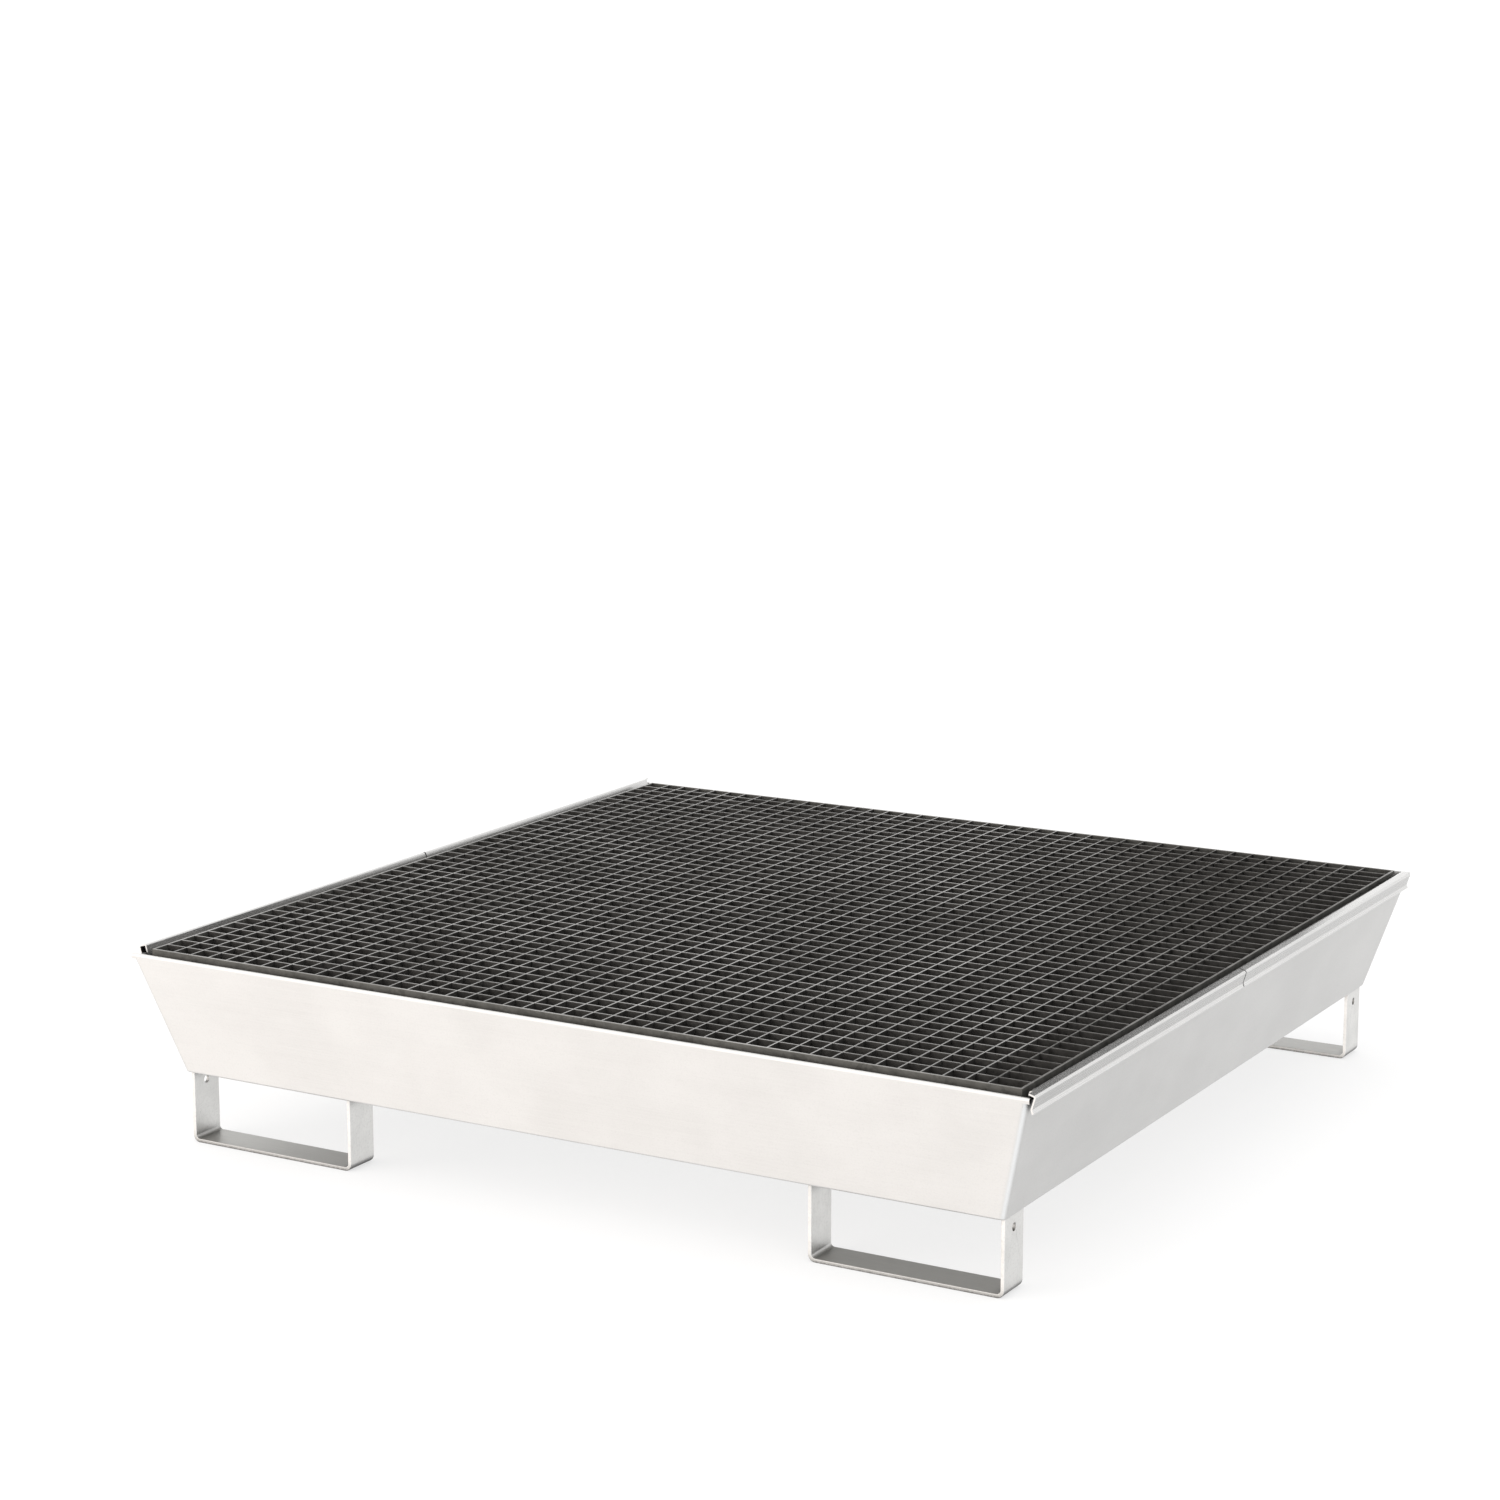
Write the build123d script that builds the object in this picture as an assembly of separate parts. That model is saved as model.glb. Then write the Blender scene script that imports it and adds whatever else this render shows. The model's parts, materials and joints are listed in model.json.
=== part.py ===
"""Steel spill containment pallet for four 200 litre drums.

A folded sump tray with flared walls stands on four U-shaped feet of flat bar. Folded caps, two to a
side, cover the tops of the left and right walls: from the front corner to just short of the rear one
on the right, and the other way round on the left. One lift-out grating lies on ledges and a beam.

Frame: origin on the floor under the middle of the pallet, +X to the right along the front wall,
+Y from the front wall to the rear wall, +Z up. Millimetres.
"""
from build123d import *
from math import atan, cos, degrees, sin, tan
import os

# --- Driving dimensions ---------------------------------------------------------------------------
FOOT_HEIGHT = 98.0          # floor to the underside of the tray
WALL_TOP_Z = 265.0          # height at which the tray's top size is given
GRATING_TOP_Z = 270.0       # deck that the drums stand on

TRAY_TOP_X = 1300.0         # outside of the tray at WALL_TOP_Z, left to right
TRAY_TOP_Y = 1292.0         # and front to rear
TRAY_BOTTOM_X = 1202.0      # outside of the tray at its underside, left to right
TRAY_BOTTOM_Y = 1204.0      # and front to rear
SHEET = 3.0                 # tray sheet
TRAY_CORNER_R = 8.0         # outside radius of the four sloping corners
TRAY_BEND_R = 4.0           # outside radius between the floor and the walls
SIDE_WALL_TOP_Z = 259.2     # sheet's edge, inside the caps
HEM_DEPTH = 12.0            # inward folded hem on the front and rear walls
HEM_DROP = 2.2              # top of the hem's round below WALL_TOP_Z, along the wall
HEM_END_INSET = 9.5         # end of a hem to the side wall's outer top edge
HEM_TAB_DEPTH = 6.5         # top of the hem, which runs on to the side wall's outer top edge

CAP_SHEET = 2.0             # folded caps on the left and right walls
CAP_OFFSET = 7.8            # cap's outer face, measured square to the wall's outer face
CAP_RISE = 4.8              # top of the caps above WALL_TOP_Z, along the wall
CAP_INNER_DEPTH = 18.4      # cap's top to the edge of its inner flange
CAP_OUTER_DEPTH = 17.2      # cap's top to the bend of its lip
CAP_LIP_DROP = 4.6          # turned-out lip below the outer flange
CAP_LIP_KICK = 3.2
CAP_BEND_R = 3.0            # outside radius of the caps' bends
CAP_LENGTH = 631.0          # each of the two caps on a wall
CAP_END_INSET = 0.7         # front cap's end to the tray's front edge at WALL_TOP_Z
CAP_JOINT_GAP = 2.4
CAP_NOTCH = 10.0            # inner flange is cut away this far where it crosses the front wall

FOOT_BAR_WIDTH = 50.0       # flat bar, front to rear
FOOT_BAR = 5.0              # flat bar, thickness
FOOT_SPAN = 260.0           # outside width of the U
FOOT_BEND_R = 10.0          # outside radius of the U's two bends
FOOT_SIDE_INSET = 3.0       # tray's bottom edge to the outer leg
FOOT_END_INSET = 9.0        # tray's bottom edge to the edge of the bar
FOOT_HOLE_D = 10.0          # fixing hole in each outer leg
FOOT_HOLE_Z = 81.0

GRATING_X = 1260.0          # overall, left to right
GRATING_Y = 1250.0          # overall, front to rear
GRATING_AT_X = 5.3          # it lies loose, moved to the right and to the front by its play
GRATING_AT_Y = -7.5
EDGE_BAR = 3.0              # flat bars round the grating
BEARING_BAR = 2.0           # load bars, left to right
BEARING_DEPTH = 30.0
BEARING_PITCH = 27.7
BEARING_COUNT = 44
CROSS_BAR = 2.0             # cross bars, front to rear, pressed into slots in the load bars
CROSS_DEPTH = 10.0
CROSS_FIRST_BAY = 32.7      # left edge bar to the first cross bar; the last bay is wider too
CROSS_PITCH = 28.83
CROSS_COUNT = 42
SLOT_CLEARANCE = 0.1        # each side of a cross bar in its slot

LEDGE_SHEET = 3.0           # folded ledges under the rim of the grating
LEDGE_SHELF = 30.0
LEDGE_FLANGE = 25.0
LEDGE_BEND_R = 4.0
LEDGE_CORNER_GAP = 3.5      # end ledges stop this far from the side ledges' shelves
SIDE_LEDGE_LENGTH = 1250.0

BEAM_SHEET = 3.0            # centre beam, a folded hat section from front to rear
BEAM_WIDTH = 60.0
BEAM_FLANGE = 21.0
BEAM_LENGTH = 1190.0
BEAM_BEND_R = 5.0
DRAIN_R = 18.0              # arched drain cut-outs through both webs, open at the floor
DRAIN_HEIGHT = 28.0
DRAIN_COUNT = 6
DRAIN_PITCH = 190.0

WELD_LEG = 3.0              # fillet welds
STITCH_LENGTH = 40.0        # stitch welds on the ledges and the beam
LEDGE_STITCH_COUNT = 6
LEDGE_STITCH_PITCH = 200.0
CORNER_WELD_R = 7.0         # weld inside each sloping corner of the tray

# --- Worked out from them -------------------------------------------------------------------------
WALL_RISE = WALL_TOP_Z - FOOT_HEIGHT
SLOPE_X = (TRAY_TOP_X - TRAY_BOTTOM_X) / 2 / WALL_RISE
SLOPE_Y = (TRAY_TOP_Y - TRAY_BOTTOM_Y) / 2 / WALL_RISE
LEAN_X = atan(SLOPE_X)
LEAN_Y = atan(SLOPE_Y)
FLOOR_TOP_Z = FOOT_HEIGHT + SHEET
GRATING_BOTTOM_Z = GRATING_TOP_Z - BEARING_DEPTH
CROSS_BOTTOM_Z = GRATING_TOP_Z - CROSS_DEPTH
HANGING = (Align.CENTER, Align.CENTER, Align.MAX)


def outer_half(z):
    """Half of the tray's outside width and depth at height z."""
    rise = z - FOOT_HEIGHT
    return TRAY_BOTTOM_X / 2 + rise * SLOPE_X, TRAY_BOTTOM_Y / 2 + rise * SLOPE_Y


def inner_half(z):
    """Half of the tray's inside width and depth at height z."""
    half_x, half_y = outer_half(z)
    return half_x - SHEET / cos(LEAN_X), half_y - SHEET / cos(LEAN_Y)


def trapezoid(plane, low_half, high_half, low_z, high_z):
    """Upright trapezoid, centred on the plane's vertical axis."""
    corners = [(-low_half, low_z), (low_half, low_z), (high_half, high_z), (-high_half, high_z)]
    return plane * make_face(Polyline(*corners, close=True))


def frustum(half_size, low_z, high_z, corner_r, bend_r):
    """Solid with sloping sides, half_size(z) big, its corners and bottom edges rounded."""
    low_x, low_y = half_size(low_z)
    high_x, high_y = half_size(high_z)
    across = extrude(trapezoid(Plane.XZ, low_x, high_x, low_z, high_z), amount=high_y, both=True)
    along = extrude(trapezoid(Plane.YZ, low_y, high_y, low_z, high_z), amount=high_x, both=True)
    body = across & along
    corners = [edge for edge in body.edges() if edge.bounding_box().size.Z > corner_r]
    body = fillet(corners, corner_r)
    return fillet(body.faces().sort_by(Axis.Z)[0].edges(), bend_r)


def tray_room():
    """Space inside the tray, up to the deck."""
    return frustum(inner_half, FLOOR_TOP_Z, GRATING_TOP_Z, TRAY_CORNER_R - SHEET, TRAY_BEND_R - SHEET)


def folded(points, bend_r, thickness):
    """Section of folded sheet: a mid-thickness path through points, bend_r outside its bends."""
    return trace(FilletPolyline(*points, radius=bend_r - thickness / 2), line_width=thickness)


def front_rear(shape):
    """The front shape, and its copy at the rear."""
    return {"front": shape, "rear": mirror(shape, about=Plane.XZ)}


def left_right(shape):
    """The right shape, and its copy at the left."""
    return {"right": shape, "left": mirror(shape, about=Plane.YZ)}


def four_corners(name, shape):
    """The front right shape and its copies at all four corners, by node name."""
    placed = {}
    for end, at_end in front_rear(shape).items():
        for side, at_corner in left_right(at_end).items():
            placed[f"{name}_{end}_{side}"] = at_corner
    return placed


def spread(count, pitch):
    """Evenly spaced positions, centred on zero."""
    return [(i - (count - 1) / 2) * pitch for i in range(count)]


def side_wall_plane(y):
    """Plane across the right wall: x square out of the wall, y up the wall, normal to the front."""
    half_x, _ = outer_half(WALL_TOP_Z)
    out = (cos(LEAN_X), 0, -sin(LEAN_X))
    return Plane(origin=(half_x, y, WALL_TOP_Z), x_dir=out, z_dir=(0, -1, 0))


def front_wall_plane(x):
    """Plane across the front wall: x square out of the wall, y up the wall, normal to the left."""
    _, half_y = outer_half(WALL_TOP_Z)
    out = (0, -cos(LEAN_Y), -sin(LEAN_Y))
    return Plane(origin=(x, -half_y, WALL_TOP_Z), x_dir=out, z_dir=(-1, 0, 0))


def weld_bead(middle, out, into, length):
    """Quarter-round weld in a corner: out of the face it lies on, and towards the other face."""
    out = Vector(*out)
    along = out.cross(Vector(*into))
    start = Plane(origin=Vector(*middle) - along * (length / 2), x_dir=out, z_dir=along)
    quarter = Circle(WELD_LEG) & Rectangle(WELD_LEG, WELD_LEG, align=(Align.MIN, Align.MAX))
    return extrude(start * quarter, amount=length).solid()


# --- Tray -----------------------------------------------------------------------------------------
def fold(depth, length):
    """Inward fold along the top of the front wall, centred, depth deep over its round top."""
    straight = Rectangle(2 * SHEET, depth - SHEET, align=(Align.CENTER, Align.MAX))
    section = Pos(-SHEET, -SHEET - HEM_DROP) * (straight + Circle(SHEET))
    return extrude(front_wall_plane(length / 2) * section, amount=length)


def make_tray():
    """One folded sheet: the floor and four flared walls, hemmed at the front and rear."""
    outside = frustum(outer_half, FOOT_HEIGHT, SIDE_WALL_TOP_Z, TRAY_CORNER_R, TRAY_BEND_R)
    hem = fold(HEM_DEPTH, TRAY_TOP_X - 2 * HEM_END_INSET)
    tab = fold(HEM_TAB_DEPTH, TRAY_TOP_X)
    tray = outside - tray_room()
    for end in front_rear(hem + tab).values():
        tray += end
    return tray


def make_corner_weld():
    """Weld up the inside of the front right corner, from the floor to below the ledges."""
    low_z = FLOOR_TOP_Z + CORNER_WELD_R
    high_z = GRATING_BOTTOM_Z - LEDGE_FLANGE - CORNER_WELD_R
    low_x, low_y = inner_half(low_z)
    high_x, high_y = inner_half(high_z)
    foot = Vector(low_x, -low_y, low_z)
    rise = Vector(high_x, -high_y, high_z) - foot
    rod = extrude(Plane(origin=foot, z_dir=rise) * Circle(CORNER_WELD_R), amount=rise.length)
    return rod & tray_room()


# --- Caps on the side walls -----------------------------------------------------------------------
def cap_section():
    """Cap in a plane across the side wall: folded over its top, with a turned-out lip."""
    inner_x = -SHEET - CAP_SHEET / 2
    outer_x = CAP_OFFSET - CAP_SHEET / 2
    top_y = CAP_RISE - CAP_SHEET / 2
    knee_y = CAP_RISE - CAP_OUTER_DEPTH
    tip = (outer_x + CAP_LIP_KICK, knee_y - CAP_LIP_DROP)
    path = [(inner_x, CAP_RISE - CAP_INNER_DEPTH), (inner_x, top_y), (outer_x, top_y), (outer_x, knee_y), tip]
    return folded(path, CAP_BEND_R, CAP_SHEET)


def make_cap(near_y):
    """One length of cap on the right wall, from near_y to the rear."""
    return extrude(side_wall_plane(near_y + CAP_LENGTH) * cap_section(), amount=CAP_LENGTH)


def make_notch():
    """Space round the top of the front wall that the front right cap is cut away for."""
    half_x, half_y = outer_half(WALL_TOP_Z)
    size = 2 * CAP_NOTCH
    block = Pos(-(size + SHEET) / 2, 0, 0) * Box(size, size, 2 * size)
    return Pos(half_x, -half_y, WALL_TOP_Z) * Rot(0, degrees(LEAN_X), 0) * block


def make_caps():
    """Both lengths of cap on the right wall, and the same two turned half round on the left wall."""
    _, half_y = outer_half(WALL_TOP_Z)
    front_y = CAP_END_INSET - half_y
    front = make_cap(front_y) - make_notch()
    rear = make_cap(front_y + CAP_LENGTH + CAP_JOINT_GAP)
    half_round = Rot(0, 0, 180)
    return {
        "rim_cap_front_right": front,
        "rim_cap_rear_right": rear,
        "rim_cap_rear_left": half_round * front,
        "rim_cap_front_left": half_round * rear,
    }


# --- Feet -----------------------------------------------------------------------------------------
def foot_place():
    """Outer face in X, and middle in Y, of the front right foot."""
    outer_x = TRAY_BOTTOM_X / 2 - FOOT_SIDE_INSET
    middle_y = -(TRAY_BOTTOM_Y - FOOT_BAR_WIDTH) / 2 + FOOT_END_INSET
    return outer_x, middle_y


def make_foot():
    """Flat bar bent into a U, with a fixing hole in its outer leg."""
    outer_x, middle_y = foot_place()
    low_z = FOOT_BAR / 2
    left_x = outer_x - FOOT_SPAN + FOOT_BAR / 2
    right_x = outer_x - FOOT_BAR / 2
    path = [(left_x, FOOT_HEIGHT), (left_x, low_z), (right_x, low_z), (right_x, FOOT_HEIGHT)]
    section = folded(path, FOOT_BEND_R, FOOT_BAR)
    bar = extrude(Plane.XZ * section, amount=FOOT_BAR_WIDTH / 2, both=True)
    drill = Pos(right_x, 0, FOOT_HOLE_Z) * Rot(0, 90, 0) * Cylinder(FOOT_HOLE_D / 2, 2 * FOOT_BAR)
    return Pos(0, middle_y, 0) * (bar - drill)


def make_foot_weld():
    """Welds under the tray, on both faces of the inner leg and inside the outer leg."""
    outer_x, middle_y = foot_place()
    inner_x = outer_x - FOOT_SPAN
    faces = [(inner_x, -1), (inner_x + FOOT_BAR, 1), (outer_x - FOOT_BAR, -1)]
    beads = []
    for x, out in faces:
        middle = (x, middle_y, FOOT_HEIGHT)
        beads.append(weld_bead(middle, (out, 0, 0), (0, 0, 1), FOOT_BAR_WIDTH))
    return Compound(beads)


# --- Inside the sump ------------------------------------------------------------------------------
def ledge_path(lean):
    """Mid-thickness path: x is level, 0 at the wall's inner face; y is 0 at the shelf's top."""
    half = LEDGE_SHEET / 2
    bend_x = -half / cos(lean) - half * tan(lean)
    tip = (bend_x - LEDGE_FLANGE * sin(lean), -half - LEDGE_FLANGE * cos(lean))
    return [(-LEDGE_SHELF, -half), (bend_x, -half), tip]


def ledge_section(lean):
    """Ledge in a plane across a wall."""
    return folded(ledge_path(lean), LEDGE_BEND_R, LEDGE_SHEET)


def ledge_toe(lean):
    """Bottom edge of the ledge's flange, on the wall: the way out, and the height."""
    tip_x, tip_y = ledge_path(lean)[-1]
    return tip_x + LEDGE_SHEET / 2 * cos(lean), GRATING_BOTTOM_Z + tip_y - LEDGE_SHEET / 2 * sin(lean)


def make_side_ledge():
    """Ledge on the right wall."""
    half_x, _ = inner_half(GRATING_BOTTOM_Z)
    section = Pos(half_x, GRATING_BOTTOM_Z) * ledge_section(LEAN_X)
    return extrude(Plane.XZ * section, amount=SIDE_LEDGE_LENGTH / 2, both=True)


def make_end_ledge():
    """Ledge on the front wall, between the shelves of the side ledges."""
    half_x, half_y = inner_half(GRATING_BOTTOM_Z)
    section = Pos(half_y, GRATING_BOTTOM_Z) * ledge_section(LEAN_Y)
    across = Plane(origin=(0, 0, 0), x_dir=(0, -1, 0), z_dir=(-1, 0, 0))
    return extrude(across * section, amount=half_x - LEDGE_SHELF - LEDGE_CORNER_GAP, both=True)


def make_ledge_welds():
    """Stitch welds under the flanges of all four ledges."""
    half_x, half_y = inner_half(GRATING_BOTTOM_Z)
    toe_x, toe_x_z = ledge_toe(LEAN_X)
    toe_y, toe_y_z = ledge_toe(LEAN_Y)
    beads = []
    for place in spread(LEDGE_STITCH_COUNT, LEDGE_STITCH_PITCH):
        side = weld_bead((half_x + toe_x, place, toe_x_z), (-cos(LEAN_X), 0, sin(LEAN_X)),
                         (sin(LEAN_X), 0, cos(LEAN_X)), STITCH_LENGTH)
        end = weld_bead((place, -half_y - toe_y, toe_y_z), (0, cos(LEAN_Y), sin(LEAN_Y)),
                        (0, -sin(LEAN_Y), cos(LEAN_Y)), STITCH_LENGTH)
        beads += left_right(side).values()
        beads += front_rear(end).values()
    return Compound(beads)


def make_beam():
    """Hat section under the middle of the grating, with drain cut-outs at the floor."""
    web_x = (BEAM_WIDTH - BEAM_SHEET) / 2
    edge_x = BEAM_WIDTH / 2 + BEAM_FLANGE
    low_z = FLOOR_TOP_Z + BEAM_SHEET / 2
    high_z = GRATING_BOTTOM_Z - BEAM_SHEET / 2
    half_path = [(web_x, high_z), (web_x, low_z), (edge_x, low_z)]
    path = [(-x, z) for x, z in reversed(half_path)] + half_path
    beam = extrude(Plane.XZ * folded(path, BEAM_BEND_R, BEAM_SHEET), amount=BEAM_LENGTH / 2, both=True)
    straight = DRAIN_HEIGHT - DRAIN_R
    arch = Pos(0, straight) * Circle(DRAIN_R)
    arch += Rectangle(2 * DRAIN_R, straight, align=(Align.CENTER, Align.MIN))
    for y in spread(DRAIN_COUNT, DRAIN_PITCH):
        beam -= Pos(0, y, FLOOR_TOP_Z) * extrude(Plane.YZ * arch, amount=edge_x + 1, both=True)
    return beam


def make_beam_welds():
    """Stitch welds along both flanges of the beam, between its drain cut-outs."""
    edge_x = BEAM_WIDTH / 2 + BEAM_FLANGE
    beads = []
    for y in spread(DRAIN_COUNT + 1, DRAIN_PITCH):
        bead = weld_bead((edge_x, y, FLOOR_TOP_Z), (1, 0, 0), (0, 0, -1), STITCH_LENGTH)
        beads += left_right(bead).values()
    return Compound(beads)


# --- Grating --------------------------------------------------------------------------------------
def cross_positions():
    """X of each cross bar from the grating's middle."""
    first = (EDGE_BAR - GRATING_X) / 2 + CROSS_FIRST_BAY
    return [first + i * CROSS_PITCH for i in range(CROSS_COUNT)]


def bearing_positions():
    """Y of each load bar from the grating's middle, at an even pitch from the front edge bar."""
    return [(EDGE_BAR - GRATING_Y) / 2 + (i + 1) * BEARING_PITCH for i in range(BEARING_COUNT)]


def make_bearing_bars():
    """Load bars on edge, slotted from the top for the cross bars."""
    half = GRATING_X / 2 - EDGE_BAR
    slot = CROSS_BAR / 2 + SLOT_CLEARANCE
    outline = [(-half, GRATING_BOTTOM_Z), (-half, GRATING_TOP_Z)]
    for x in cross_positions():
        outline += [(x - slot, GRATING_TOP_Z), (x - slot, CROSS_BOTTOM_Z)]
        outline += [(x + slot, CROSS_BOTTOM_Z), (x + slot, GRATING_TOP_Z)]
    outline += [(half, GRATING_TOP_Z), (half, GRATING_BOTTOM_Z)]
    side = Plane.XZ * make_face(Polyline(*outline, close=True))
    bar = extrude(side, amount=BEARING_BAR / 2, both=True).solid()
    return Compound([Pos(0, y, 0) * bar for y in bearing_positions()])


def make_cross_bars():
    """Flat bars flush with the top of the load bars."""
    bar = Box(CROSS_BAR, GRATING_Y - 2 * EDGE_BAR, CROSS_DEPTH, align=HANGING).solid()
    return Compound([Pos(x, 0, GRATING_TOP_Z) * bar for x in cross_positions()])


def make_edge_bars():
    """Flat bars round the grating; the side ones fit between the front and rear ones."""
    end_bar = Box(GRATING_X, EDGE_BAR, BEARING_DEPTH, align=HANGING)
    side_bar = Box(EDGE_BAR, GRATING_Y - 2 * EDGE_BAR, BEARING_DEPTH, align=HANGING)
    front = Pos(0, (EDGE_BAR - GRATING_Y) / 2, GRATING_TOP_Z) * end_bar
    right = Pos((GRATING_X - EDGE_BAR) / 2, 0, GRATING_TOP_Z) * side_bar
    placed = front_rear(front) | left_right(right)
    return {f"grating_edge_{place}": bar for place, bar in placed.items()}


def make_grating():
    """Every bar of the grating, by node name, where it lies in the tray."""
    bars = {"bearing_bars": make_bearing_bars(), "cross_bars": make_cross_bars()} | make_edge_bars()
    return {name: Pos(GRATING_AT_X, GRATING_AT_Y, 0) * bar for name, bar in bars.items()}


# --- Parts ----------------------------------------------------------------------------------------
def make_parts():
    """Every node of the pallet, by name."""
    parts = {"tray": make_tray()}
    parts |= four_corners("corner_weld", make_corner_weld())
    parts |= make_caps()
    parts |= four_corners("foot", make_foot())
    parts |= four_corners("foot_weld", make_foot_weld())
    ledges = left_right(make_side_ledge()) | front_rear(make_end_ledge())
    parts |= {f"ledge_{place}": ledge for place, ledge in ledges.items()}
    parts["ledge_welds"] = make_ledge_welds()
    parts["centre_beam"] = make_beam()
    parts["beam_welds"] = make_beam_welds()
    parts |= make_grating()
    return parts


os.makedirs("parts", exist_ok=True)
for node, shape in make_parts().items():
    export_step(shape, f"parts/{node}.step", write_pcurves=False)
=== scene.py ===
"""Looks of the spill containment pallet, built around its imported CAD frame.

Everything is in metres in the CAD frame: origin on the floor under the middle of the pallet, +X to
the right along the front wall, +Y from the front wall to the rear wall, +Z up.
"""
import json
from math import cos, pi, radians, sin

import bmesh
import bpy
import numpy as np
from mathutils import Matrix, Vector


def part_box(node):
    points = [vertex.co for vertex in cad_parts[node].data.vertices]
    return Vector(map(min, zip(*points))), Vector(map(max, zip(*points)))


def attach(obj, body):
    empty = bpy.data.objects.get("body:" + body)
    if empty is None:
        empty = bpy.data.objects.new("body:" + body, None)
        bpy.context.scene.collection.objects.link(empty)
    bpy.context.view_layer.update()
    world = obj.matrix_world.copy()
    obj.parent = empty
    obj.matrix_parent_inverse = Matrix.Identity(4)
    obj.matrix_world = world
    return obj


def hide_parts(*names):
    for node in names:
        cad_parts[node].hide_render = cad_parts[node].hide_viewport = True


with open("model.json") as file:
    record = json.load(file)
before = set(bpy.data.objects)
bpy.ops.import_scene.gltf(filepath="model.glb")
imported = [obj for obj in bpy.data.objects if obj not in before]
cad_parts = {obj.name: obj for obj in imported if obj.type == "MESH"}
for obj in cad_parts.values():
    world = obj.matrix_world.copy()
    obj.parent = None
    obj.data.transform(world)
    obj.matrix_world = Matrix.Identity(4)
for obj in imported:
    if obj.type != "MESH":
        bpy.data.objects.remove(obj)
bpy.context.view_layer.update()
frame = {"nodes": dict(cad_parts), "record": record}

MM = 0.001

# --- Camera, floor and lights ---------------------------------------------------------------------
CAMERA_PLACE = Vector((2.1763, -3.9156, 1.3657))
CAMERA_YAW = radians(29.994)        # from +Y towards -X
CAMERA_DOWN = radians(11.065)
LENS = 80.02                        # millimetres, on a sensor of this width
SENSOR = 36.0

FLOOR_HALF = 60.0
FLOOR_COLOUR = (0.33, 0.33, 0.33)
FLOOR_GLOW = 0.65                   # of white, so that shadows on the pale floor stay light
WHITE = (1.0, 1.0, 1.0)
SKY_LOW = 0.66                      # brightness of the studio well below the horizon
SKY_HIGH = 1.15                     # and above it
SKY_FADE = (-0.52, -0.18)           # heights of the direction between which it changes

# Parts of the studio that differ: direction, cosines of the angle from it where the part starts and
# where it is full, brightness added there, colour there.
SKY_PARTS = {
    "warm_front": ((-0.60, -0.80, 0.0), (0.15, 0.85), 0.62, (1.0, 0.955, 0.92)),
    "cool_corner": ((0.60, -0.42, -0.68), (0.75, 0.95), 0.75, (0.94, 0.97, 1.0)),
    "bright_behind": ((-0.50, 0.83, 0.25), (0.90, 0.99), 0.40, (1.0, 1.0, 1.0)),
}

# A dark card stands upright along the right and half the rear of the deck and is seen only in
# reflections, as a load on the pallet would be.
CARD_PLAN = [(0.56, -0.56), (0.56, 0.80), (0.10, 0.80)]
CARD_LOW = 0.275
CARD_HIGH = 1.15
CARD_COLOUR = (0.05, 0.05, 0.05)

# Area lights: place, size (wide, high), watts, colour. Each looks at the middle of the pallet.
LIGHTS = {
    "key": ((-2.4, -4.2, 1.0), (4.0, 2.0), 60.0, (1.0, 0.93, 0.87)),
    "top": ((0.3, 0.6, 4.5), (3.0, 3.0), 30.0, (1.0, 1.0, 1.0)),
}

# --- Materials ------------------------------------------------------------------------------------
STEEL_METALLIC = 0.85
GRATING_METALLIC = 0.55
MIDDLE = (0.3, 0.7)                 # range of a noise that most of its values lie in
UP_FACING = (0.5, 0.9)              # height of the normal where a face starts to count as level, and is

SHEET_COLOUR = (0.71, 0.705, 0.695)
SHEET_GRAIN = (9.0, 1300.0)         # cells per metre along the grain, and across it
SHEET_ROUGHNESS = (0.36, 0.46)
SHEET_CLOUDING = (-0.03, 0.04)      # added to the roughness
CAP_PAINTED_SHADE = 0.91                    # the caps' sheet against the tray's: darker, as painted shade
CAP_POLISH = 0.16                   # taken off its roughness
STAIN_COLOUR = (0.30, 0.27, 0.23)
STAIN_SHARE = 0.30
STAIN_HEIGHT = (0.103, 0.112)       # full on the sump's floor, gone just above it

BAR_COLOUR = (0.70, 0.695, 0.68)
BAR_GRAIN = (22.0, 1100.0)
BAR_ROUGHNESS = (0.36, 0.48)
# Painted shade on the bars' up-facing tops, for the dark reflection of the tray's shaded underside in them.
BAR_TOP_SHADE = (0.30, 0.295, 0.28)
TOP_SHADE_SHARE = 0.85
SCUFF_COLOUR = (0.34, 0.33, 0.31)
SCUFF_HEIGHT = 4 * MM

# The grating's zinc made near-black: painted shade, for the shadow of a load over the deck and its cells.
GRATING_SHADED_ZINC = (0.050, 0.048, 0.045)
# The edge bars' zinc lighter than the rest: painted light, as from the front lamp.
GRATING_RIM_LIT = (0.092, 0.090, 0.083)
GRATING_WORN = (0.36, 0.355, 0.345)
GRATING_ROUGHNESS = (0.50, 0.66)
RUBBED_POLISH = 0.14
RUBBED_DEPTH = (1.2 * MM, 0.1 * MM)  # below the deck, where the rubbing starts and where it is full

WELD_COLOUR = (0.52, 0.50, 0.47)
WELD_STRAW = (0.56, 0.47, 0.33)
WELD_BLUE = (0.36, 0.39, 0.45)
WELD_ROUGHNESS = (0.38, 0.55)

# Painted shade in crevices: the colour darkened by how closed in each point is.
CREVICE_DEPTH = 25 * MM             # how far a crevice's walls are searched for
CREVICE_FADE = (0.25, 0.90)         # open share of a point where its painted shade is darkest, and where it has none
CREVICE_DARK = 0.12
CREVICE_SAMPLES = 8

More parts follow.
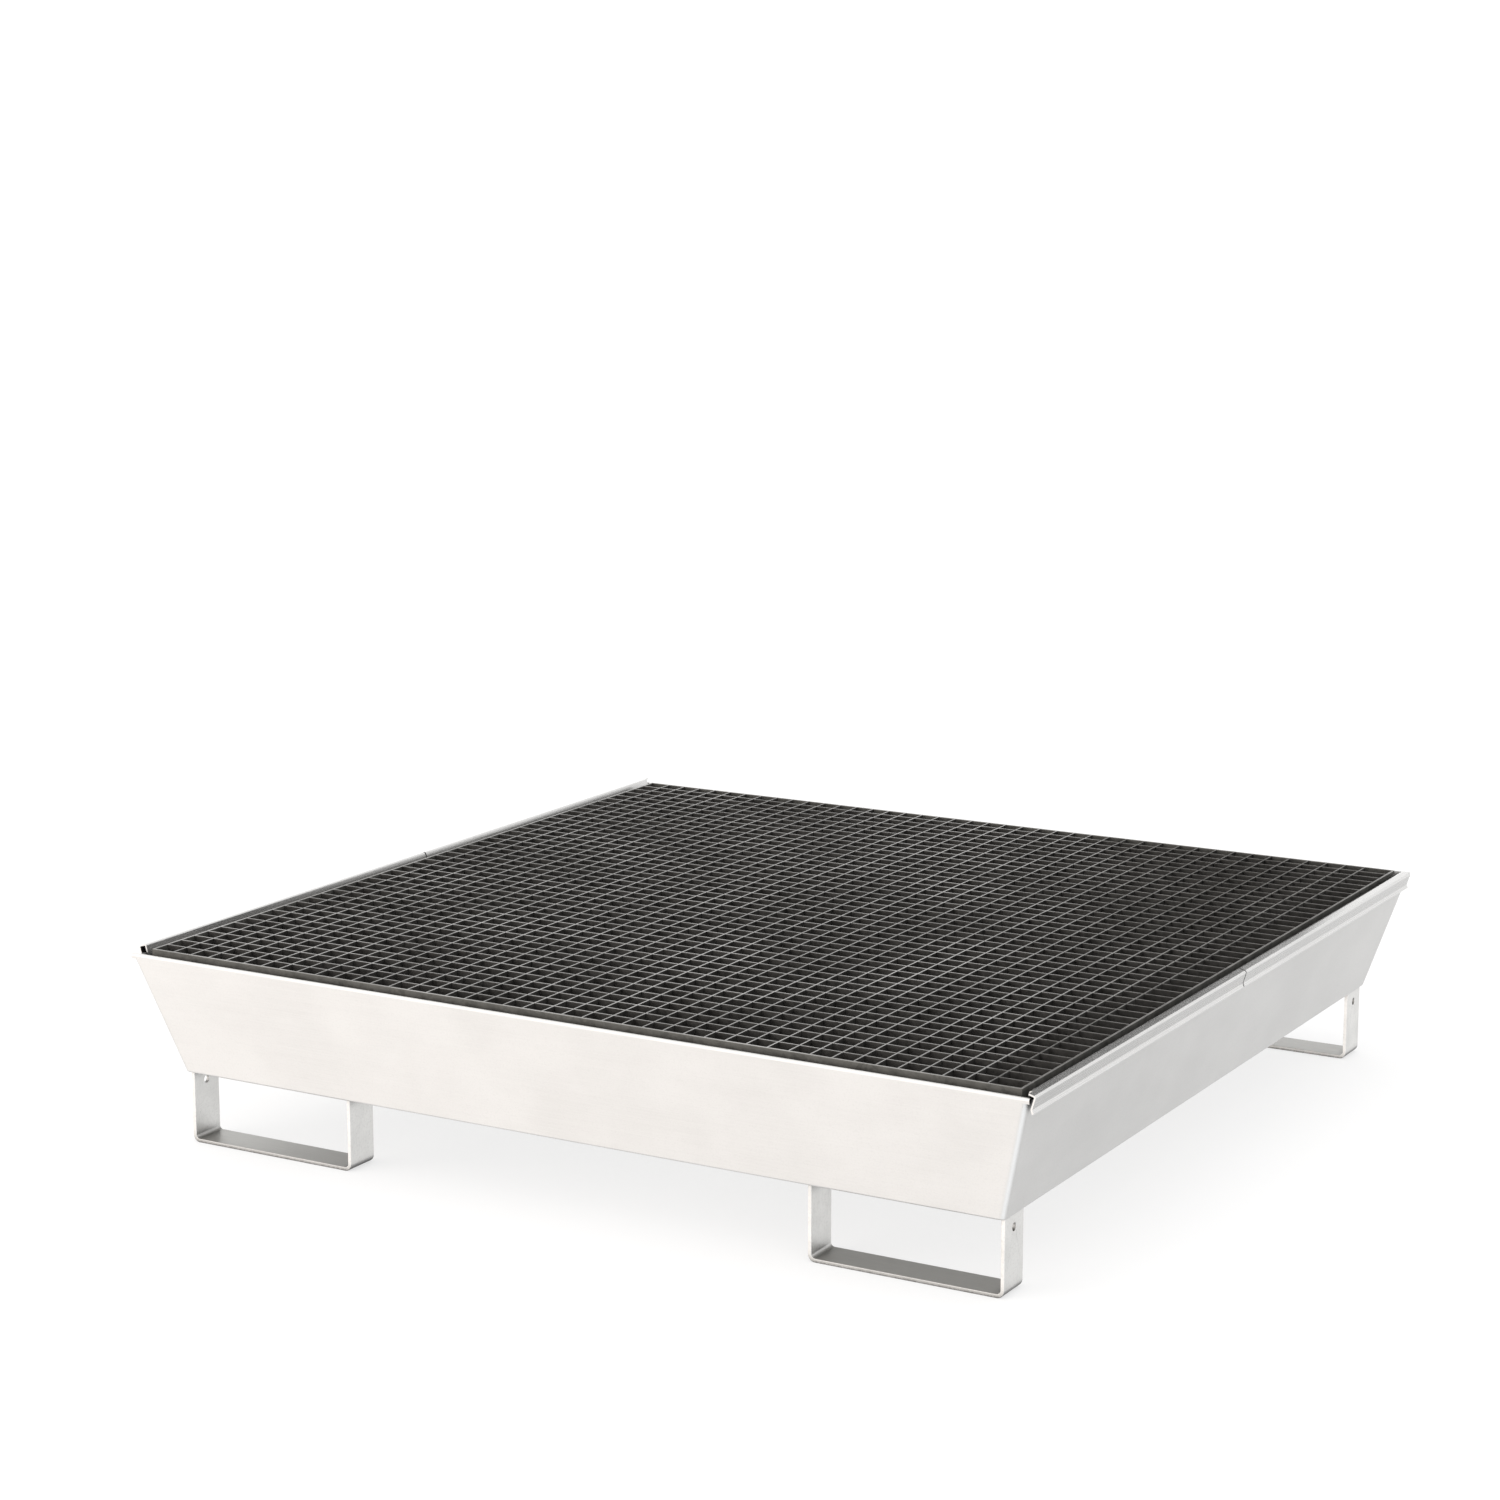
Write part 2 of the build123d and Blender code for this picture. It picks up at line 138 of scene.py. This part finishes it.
# --- CAD nodes ------------------------------------------------------------------------------------
FINISHES = {                        # nodes with a finish of their own within their slot, by the name's start; the edge bars' lighter zinc is painted light, the caps' darker sheet painted shade
    "grating_edge": "grating_rim",
    "rim_cap": "cap_sheet",
}
WELD_DISTANCE = 0.01 * MM
EDGE_RADIUS = {                     # broken edges of bars, by the material slot of the node
    "foot_bar": 0.8 * MM,
    "grating_rim": 0.4 * MM,
}
EDGE_ANGLE = radians(50)
EDGE_SEGMENTS = 3

# --- Weld beads -----------------------------------------------------------------------------------
BEAD_STEP = 0.7 * MM
RIPPLE_PITCH = 2.8 * MM
RIPPLE_DEPTH = 0.16                 # part of the bead's leg
BEAD_END = 2.5 * MM                 # taper at each end
BEAD_TIP = 0.35                     # part of the bead's size that is left at its very end
BEAD_WANDER = 0.04                  # slow change of size along the bead
WANDER_RIPPLES = 6.3                # ripples in one such change
BEAD_ARC_POINTS = 7


# --- Node graphs ----------------------------------------------------------------------------------
class Graph:
    """Adds and links nodes in one node tree."""

    def __init__(self, tree):
        self.tree = tree

    def add(self, kind, **settings):
        """A new node with its properties set."""
        made = self.tree.nodes.new(kind)
        for key, value in settings.items():
            setattr(made, key, value)
        return made

    def put(self, socket, value):
        """Links an output to the socket, or sets the socket's own value."""
        if isinstance(value, bpy.types.NodeSocket):
            self.tree.links.new(value, socket)
        elif isinstance(value, tuple) and len(value) == 3 and socket.type == "RGBA":
            socket.default_value = (*value, 1.0)
        else:
            socket.default_value = value

    def math(self, operation, *values, clamp=False):
        """Output of a Math node."""
        made = self.add("ShaderNodeMath", operation=operation, use_clamp=clamp)
        for socket, value in zip(made.inputs, values):
            self.put(socket, value)
        return made.outputs[0]

    def stretch(self, source, low, high, to_low=0.0, to_high=1.0):
        """source taken from low..high to to_low..to_high, smoothly and clamped."""
        made = self.add("ShaderNodeMapRange", interpolation_type="SMOOTHSTEP")
        for socket, value in zip(made.inputs, (source, low, high, to_low, to_high)):
            self.put(socket, value)
        return made.outputs[0]

    def blend(self, factor, first, second, mode="MIX"):
        """Colour mix of first and second."""
        made = self.add("ShaderNodeMix", data_type="RGBA", blend_type=mode)
        self.put(made.inputs["Factor"], factor)
        self.put(made.inputs[6], first)
        self.put(made.inputs[7], second)
        return made.outputs[2]

    def axes(self, vector):
        """The x, y and z of a vector."""
        made = self.add("ShaderNodeSeparateXYZ")
        self.put(made.inputs[0], vector)
        return made.outputs


class Surface(Graph):
    """The nodes of one material."""

    def __init__(self, name):
        self.material = bpy.data.materials.new(name)
        self.material.use_nodes = True
        super().__init__(self.material.node_tree)
        self.shader = self.tree.nodes["Principled BSDF"]
        self.place = self.add("ShaderNodeTexCoord").outputs["Object"]
        self.normal = self.add("ShaderNodeNewGeometry").outputs["True Normal"]

    def scaled(self, per_metre):
        """Object place, scaled by a number for each axis."""
        made = self.add("ShaderNodeMapping")
        self.put(made.inputs["Vector"], self.place)
        self.put(made.inputs["Scale"], per_metre)
        return made.outputs["Vector"]

    def noise(self, per_metre, detail=2.0, roughness=0.5):
        """Noise from 0 to 1, with so many cells per metre along each axis."""
        made = self.add("ShaderNodeTexNoise")
        self.put(made.inputs["Vector"], self.scaled(per_metre))
        self.put(made.inputs["Scale"], 1.0)
        self.put(made.inputs["Detail"], detail)
        self.put(made.inputs["Roughness"], roughness)
        return made.outputs["Fac"]

    def bump(self, height, strength, distance):
        """Sends a height map to the shader's normal."""
        made = self.add("ShaderNodeBump")
        self.put(made.inputs["Height"], height)
        self.put(made.inputs["Strength"], strength)
        self.put(made.inputs["Distance"], distance)
        self.put(self.shader.inputs["Normal"], made.outputs["Normal"])

    def paint_crevice_shade(self, colour):
        """The colour with painted shade: darker in narrow gaps, holes and inner corners, the more closed in
        a point is.
        """
        shelter = self.add("ShaderNodeAmbientOcclusion", samples=CREVICE_SAMPLES)
        self.put(shelter.inputs["Distance"], CREVICE_DEPTH)
        open_share = self.stretch(shelter.outputs["AO"], *CREVICE_FADE, CREVICE_DARK, 1.0)
        return self.blend(open_share, (0.0, 0.0, 0.0), colour)

    def finish(self, colour, metallic, roughness):
        """Colour, metal and roughness of the shader; gives the material."""
        self.put(self.shader.inputs["Base Color"], colour)
        self.put(self.shader.inputs["Metallic"], metallic)
        self.put(self.shader.inputs["Roughness"], roughness)
        return self.material


def shade(colour, factor):
    """A colour made lighter or darker."""
    return tuple(channel * factor for channel in colour)


def sheet_material(name, body_colour, polish=0.0):
    """Satin stainless sheet: grain along each wall, clouds, specks, stains on the sump's floor."""
    graph = Surface(name)
    facing = graph.axes(graph.normal)
    on_side = graph.stretch(graph.math("ABSOLUTE", facing[0]), 0.6, 0.8)
    along, across = SHEET_GRAIN
    along_x = graph.noise((along, across, across), 3.0, 0.6)
    along_y = graph.noise((across, along, across), 3.0, 0.6)
    grain = graph.blend(on_side, along_x, along_y)
    clouds = graph.noise((7.0, 7.0, 9.0), 4.0, 0.6)
    speckle = graph.noise((420.0, 420.0, 420.0), 2.0, 0.6)

    colour = graph.blend(graph.stretch(clouds, *MIDDLE), shade(body_colour, 0.96), shade(body_colour, 1.03))
    colour = graph.blend(graph.stretch(grain, 0.35, 0.65, 0.0, 0.35), colour, shade(body_colour, 1.10))
    colour = graph.blend(graph.stretch(speckle, 0.45, 0.75, 0.0, 0.18), colour, shade(body_colour, 0.80))

    stains = graph.stretch(graph.noise((5.0, 5.0, 5.0), 6.0, 0.65), 0.50, 0.62)
    stains = graph.math("MULTIPLY", stains, graph.stretch(facing[2], *UP_FACING))
    low = graph.stretch(graph.axes(graph.place)[2], *STAIN_HEIGHT, 1.0, 0.0)
    stains = graph.math("MULTIPLY", stains, graph.math("MULTIPLY", low, STAIN_SHARE))
    colour = graph.blend(stains, colour, STAIN_COLOUR)

    clouding = graph.stretch(clouds, *MIDDLE, *SHEET_CLOUDING)
    roughness = graph.math("ADD", graph.stretch(grain, *MIDDLE, *SHEET_ROUGHNESS), clouding)
    roughness = graph.math("ADD", roughness, graph.math("MULTIPLY", stains, 0.5))
    roughness = graph.math("SUBTRACT", roughness, polish)
    graph.bump(graph.math("ADD", grain, graph.math("MULTIPLY", speckle, 0.5)), 0.22, 0.04 * MM)
    # the sheet's colour with painted shade in its crevices
    return graph.finish(graph.paint_crevice_shade(colour), STEEL_METALLIC, roughness)


def bar_material():
    """Satin stainless flat bar: grain along it, mottled, scuffed below, with painted shade on its up-facing
    tops.
    """
    graph = Surface("foot_bar")
    along, across = BAR_GRAIN
    grain = graph.noise((along, across, along), 3.0, 0.6)
    speckle = graph.noise((360.0, 360.0, 360.0), 3.0, 0.65)
    clouds = graph.noise((24.0, 24.0, 24.0), 3.0, 0.6)
    colour = graph.blend(graph.stretch(clouds, *MIDDLE), shade(BAR_COLOUR, 0.92), shade(BAR_COLOUR, 1.05))
    colour = graph.blend(graph.stretch(grain, 0.35, 0.65, 0.0, 0.40), colour, shade(BAR_COLOUR, 1.12))
    colour = graph.blend(graph.stretch(speckle, 0.45, 0.75, 0.0, 0.35), colour, shade(BAR_COLOUR, 0.72))
    scuff = graph.stretch(graph.axes(graph.place)[2], 0.0, SCUFF_HEIGHT, 1.0, 0.0)
    scuff = graph.math("MULTIPLY", scuff, graph.stretch(speckle, 0.4, 0.6, 0.2, 0.9))
    colour = graph.blend(scuff, colour, SCUFF_COLOUR)
    # painted shade on up-facing faces
    top_shade = graph.stretch(graph.axes(graph.normal)[2], *UP_FACING, 0.0, TOP_SHADE_SHARE)
    colour = graph.blend(top_shade, colour, BAR_TOP_SHADE)
    roughness = graph.stretch(grain, *MIDDLE, *BAR_ROUGHNESS)
    roughness = graph.math("ADD", roughness, graph.math("MULTIPLY", scuff, 0.25))
    graph.bump(graph.math("ADD", grain, graph.math("MULTIPLY", speckle, 0.8)), 0.30, 0.05 * MM)
    # the bar's colour with painted shade in its crevices
    return graph.finish(graph.paint_crevice_shade(colour), STEEL_METALLIC, roughness)


def grating_material(name, body_colour):
    """Zinc on bars in the body colour given, which carries painted shade or painted light: cloudy, with fine
    crystals, rubbed bright along their top edges.
    """
    graph = Surface(name)
    height = graph.axes(graph.place)[2]
    normal_z = graph.axes(graph.normal)[2]
    deck_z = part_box("bearing_bars")[1].z
    clouds = graph.noise((55.0, 55.0, 55.0), 4.0, 0.65)
    crystals = graph.add("ShaderNodeTexVoronoi", feature="F1")
    graph.put(crystals.inputs["Vector"], graph.scaled((170.0, 170.0, 170.0)))
    graph.put(crystals.inputs["Scale"], 1.0)
    flakes = graph.axes(crystals.outputs["Color"])[0]
    patches = graph.noise((6.0, 6.0, 6.0), 3.0, 0.5)

    colour = graph.blend(graph.stretch(clouds, *MIDDLE), shade(body_colour, 0.75), shade(body_colour, 1.3))
    colour = graph.blend(graph.stretch(flakes, 0.0, 1.0, 0.0, 0.35), colour, shade(body_colour, 1.7))
    rubbed = graph.stretch(height, *(deck_z - depth for depth in RUBBED_DEPTH))
    rubbed = graph.math("MULTIPLY", rubbed, graph.stretch(normal_z, 0.3, 0.8, 0.35, 1.0))
    rubbed = graph.math("MULTIPLY", rubbed, graph.stretch(patches, *MIDDLE, 0.55, 1.0))
    rubbed = graph.math("MULTIPLY", rubbed, graph.stretch(clouds, 0.25, 0.6, 0.65, 1.0))
    colour = graph.blend(rubbed, colour, GRATING_WORN)
    roughness = graph.stretch(clouds, *MIDDLE, *GRATING_ROUGHNESS)
    roughness = graph.math("SUBTRACT", roughness, graph.math("MULTIPLY", rubbed, RUBBED_POLISH))
    graph.bump(graph.math("ADD", clouds, graph.math("MULTIPLY", flakes, 0.3)), 0.35, 0.10 * MM)
    return graph.finish(colour, GRATING_METALLIC, roughness)


def weld_material():
    """Brushed weld metal: straw and blue heat colours in patches, rough, slightly dirty."""
    graph = Surface("weld")
    patches = graph.noise((140.0, 140.0, 140.0), 3.0, 0.6)
    fine = graph.noise((900.0, 900.0, 900.0), 2.0, 0.6)
    colour = graph.blend(graph.stretch(patches, 0.35, 0.50), shade(WELD_COLOUR, 0.85), WELD_STRAW)
    colour = graph.blend(graph.stretch(patches, 0.52, 0.66), colour, WELD_BLUE)
    colour = graph.blend(graph.stretch(fine, 0.4, 0.7, 0.0, 0.5), colour, shade(WELD_COLOUR, 1.25))
    graph.bump(fine, 0.4, 0.06 * MM)
    return graph.finish(colour, STEEL_METALLIC, graph.stretch(fine, *MIDDLE, *WELD_ROUGHNESS))


def floor_material():
    """Pale studio floor with a faint mottle."""
    graph = Surface("studio_floor")
    mottle = graph.noise((1.5, 1.5, 1.5), 2.0, 0.5)
    colour = graph.blend(mottle, shade(FLOOR_COLOUR, 0.995), shade(FLOOR_COLOUR, 1.005))
    graph.put(graph.shader.inputs["Specular IOR Level"], 0.0)
    graph.put(graph.shader.inputs["Emission Color"], WHITE)
    graph.put(graph.shader.inputs["Emission Strength"], FLOOR_GLOW)
    return graph.finish(colour, 0.0, 0.9)


# --- CAD nodes ------------------------------------------------------------------------------------
def paint(thing, material):
    """Puts one material on every face."""
    thing.data.materials.clear()
    thing.data.materials.append(material)


def add_thing(name, places, faces):
    """A new mesh object in the scene."""
    mesh = bpy.data.meshes.new(name)
    mesh.from_pydata(places, [], faces)
    thing = bpy.data.objects.new(name, mesh)
    bpy.context.scene.collection.objects.link(thing)
    return thing


def break_edges(node, radius):
    """Rounds the sharp edges of a bar by modifiers, with flat faces kept flat."""
    joined = node.modifiers.new("joined", "WELD")
    joined.merge_threshold = WELD_DISTANCE
    rounded = node.modifiers.new("rounded", "BEVEL")
    rounded.width = radius
    rounded.segments = EDGE_SEGMENTS
    rounded.limit_method = "ANGLE"
    rounded.angle_limit = EDGE_ANGLE
    node.modifiers.new("flat_faces", "WEIGHTED_NORMAL")


def dress_frame(materials):
    """The slot's material on every CAD node, and broken edges on the bars."""
    slots = {part["node"]: part["material_slot"] for part in frame["record"]["subparts"]}
    for name, node in frame["nodes"].items():
        finish = next((use for start, use in FINISHES.items() if name.startswith(start)), slots[name])
        paint(node, materials[finish])
        if finish in EDGE_RADIUS:
            break_edges(node, EDGE_RADIUS[finish])


# --- Weld beads -----------------------------------------------------------------------------------
def islands(node):
    """The place of the vertices of each separate solid of a CAD node."""
    mesh = node.data
    group = {}
    keys = [tuple(round(c / WELD_DISTANCE) for c in v.co) for v in mesh.vertices]

    def root(key):
        while group.setdefault(key, key) != key:
            group[key] = group[group[key]]
            key = group[key]
        return key

    for edge in mesh.edges:
        group[root(keys[edge.vertices[0]])] = root(keys[edge.vertices[1]])
    solids = {}
    for key, vertex in zip(keys, mesh.vertices):
        solids.setdefault(root(key), []).append(vertex.co[:])
    return [np.unique(np.round(places, 7), axis=0) for places in solids.values()]


def bead_frame(places):
    """Corner line, direction, length and the two legs' directions of one quarter-round bead."""
    middle = places.mean(0)
    along = np.linalg.svd(places - middle)[2][0]
    travel = (places - middle) @ along
    start = places[travel < travel.min() + WELD_DISTANCE]
    spread = [np.linalg.norm(start - place, axis=1) for place in start]
    corner = min(range(len(start)), key=lambda i: np.ptp(np.delete(spread[i], i)))
    reach = spread[corner]
    rim = start[reach > reach.max() * 0.5]
    ends = max(((a, b) for a in rim for b in rim), key=lambda pair: np.linalg.norm(pair[0] - pair[1]))
    base = start[corner]
    return base, along * (travel.max() - travel.min()), ends[0] - base, ends[1] - base


def bead_rings(corner, run, leg_a, leg_b, phase):
    """Sections of a bead along its run: rippled in the middle, tapered at both ends."""
    length = np.linalg.norm(run)
    count = int(length / BEAD_STEP)
    rings = []
    for i in range(count + 1):
        travel = length * i / count
        taper = min(1.0, BEAD_TIP + (1 - BEAD_TIP) * min(travel, length - travel) / BEAD_END)
        wave = abs(sin(pi * travel / RIPPLE_PITCH + phase))
        wander = BEAD_WANDER * sin(2 * pi * travel / (WANDER_RIPPLES * RIPPLE_PITCH) + 2 * phase)
        size = taper * (1 - RIPPLE_DEPTH * (1 - wave) - BEAD_WANDER + wander)
        base = corner + run * (travel / length)
        ring = [base]
        for k in range(BEAD_ARC_POINTS):
            turn = pi / 2 * k / (BEAD_ARC_POINTS - 1)
            ring.append(base + (leg_a * cos(turn) + leg_b * sin(turn)) * size)
        rings.append(ring)
    return rings


def skin(rings, places, faces):
    """Adds a closed tube through the rings to the lists of places and faces."""
    first = len(places)
    around = len(rings[0])
    for ring in rings:
        places.extend(tuple(place) for place in ring)
    for i in range(len(rings) - 1):
        for k in range(around):
            a = first + i * around + k
            b = first + i * around + (k + 1) % around
            faces.append((a, b, b + around, a + around))
    faces.append(tuple(first + k for k in reversed(range(around))))
    faces.append(tuple(first + (len(rings) - 1) * around + k for k in range(around)))


def make_beads(name, material):
    """Rippled weld beads in the place of one CAD node's plain ones."""
    places, faces = [], []
    for number, solid in enumerate(islands(frame["nodes"][name])):
        skin(bead_rings(*bead_frame(solid), phase=0.7 * number), places, faces)
    beads = add_thing(f"{name}_beads", places, faces)
    mesh = beads.data
    mesh.validate()
    shell = bmesh.new()
    shell.from_mesh(mesh)
    bmesh.ops.recalc_face_normals(shell, faces=shell.faces)
    shell.to_mesh(mesh)
    shell.free()
    mesh.shade_smooth()
    mesh.set_sharp_from_angle(angle=radians(60))
    paint(beads, material)
    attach(beads, "pallet")
    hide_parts(name)


# --- Studio ---------------------------------------------------------------------------------------
def make_floor():
    """Pale floor under the pallet."""
    corners = [(x * FLOOR_HALF, y * FLOOR_HALF, 0.0) for x, y in ((-1, -1), (1, -1), (1, 1), (-1, 1))]
    floor = add_thing("studio_floor", corners, [(0, 1, 2, 3)])
    paint(floor, floor_material())
    floor.visible_glossy = False


def make_card():
    """Dark card over the deck, only in reflections, that keeps glare off the grating and the rims."""
    count = len(CARD_PLAN)
    places = [(x, y, z) for z in (CARD_LOW, CARD_HIGH) for x, y in CARD_PLAN]
    faces = [(k, k + 1, k + 1 + count, k + count) for k in range(count - 1)]
    card = add_thing("studio_card", places, faces)
    surface = Surface("studio_card")
    surface.put(surface.shader.inputs["Specular IOR Level"], 0.0)
    paint(card, surface.finish(CARD_COLOUR, 0.0, 1.0))
    card.visible_camera = False
    card.visible_diffuse = False
    card.visible_shadow = False
    card.visible_transmission = False


def make_world():
    """White studio all round, dimmer below the horizon, with the parts that differ."""
    world = bpy.data.worlds.new("studio")
    bpy.context.scene.world = world
    world.use_nodes = True
    graph = Graph(world.node_tree)
    direction = graph.add("ShaderNodeTexCoord").outputs["Generated"]
    colour = WHITE
    brightness = graph.stretch(graph.axes(direction)[2], *SKY_FADE, SKY_LOW, SKY_HIGH)
    for towards, fade, change, tint in SKY_PARTS.values():
        nearness = graph.add("ShaderNodeVectorMath", operation="DOT_PRODUCT")
        graph.put(nearness.inputs[0], direction)
        graph.put(nearness.inputs[1], Vector(towards).normalized())
        share = graph.stretch(nearness.outputs["Value"], *fade)
        brightness = graph.math("ADD", brightness, graph.math("MULTIPLY", share, change))
        colour = graph.blend(share, colour, tint)
    sky = world.node_tree.nodes["Background"]
    graph.put(sky.inputs["Strength"], brightness)
    graph.put(sky.inputs["Color"], colour)


def make_lights():
    """Soft area lights."""
    middle = Vector((0, 0, 0.15))
    for name, (place, size, watts, colour) in LIGHTS.items():
        data = bpy.data.lights.new(name, "AREA")
        data.shape = "RECTANGLE"
        data.size, data.size_y = size
        data.energy = watts
        data.color = colour
        light = bpy.data.objects.new(name, data)
        light.location = place
        light.visible_camera = False
        light.visible_glossy = False
        light.rotation_euler = (middle - light.location).to_track_quat("-Z", "Y").to_euler()
        bpy.context.scene.collection.objects.link(light)


def make_camera():
    """The camera, with its focal length for a square picture."""
    data = bpy.data.cameras.new("camera")
    data.lens = LENS
    data.sensor_width = SENSOR
    data.clip_end = 500.0
    camera = bpy.data.objects.new("camera", data)
    camera.location = CAMERA_PLACE
    camera.rotation_euler = (pi / 2 - CAMERA_DOWN, 0, CAMERA_YAW)
    bpy.context.scene.collection.objects.link(camera)
    bpy.context.scene.camera = camera


def build():
    """The whole scene."""
    materials = {
        "tray_sheet": sheet_material("tray_sheet", SHEET_COLOUR),
        # the caps: a darker copy of the tray's sheet with painted shade, and more polished
        "cap_sheet": sheet_material("cap_sheet", shade(SHEET_COLOUR, CAP_PAINTED_SHADE), CAP_POLISH),
        "foot_bar": bar_material(),
        # the grating's colour carries painted shade, its edge bars' lighter copy painted light
        "galvanised_grating": grating_material("galvanised_grating", GRATING_SHADED_ZINC),
        "grating_rim": grating_material("grating_rim", GRATING_RIM_LIT),
        "weld": weld_material(),
    }
    dress_frame(materials)
    for name in frame["nodes"]:
        if name.startswith(("foot_weld", "beam_weld", "ledge_weld")):
            make_beads(name, materials["weld"])
    make_floor()
    make_card()
    make_world()
    make_lights()
    make_camera()
    bpy.context.scene.view_settings.view_transform = "Standard"


build()
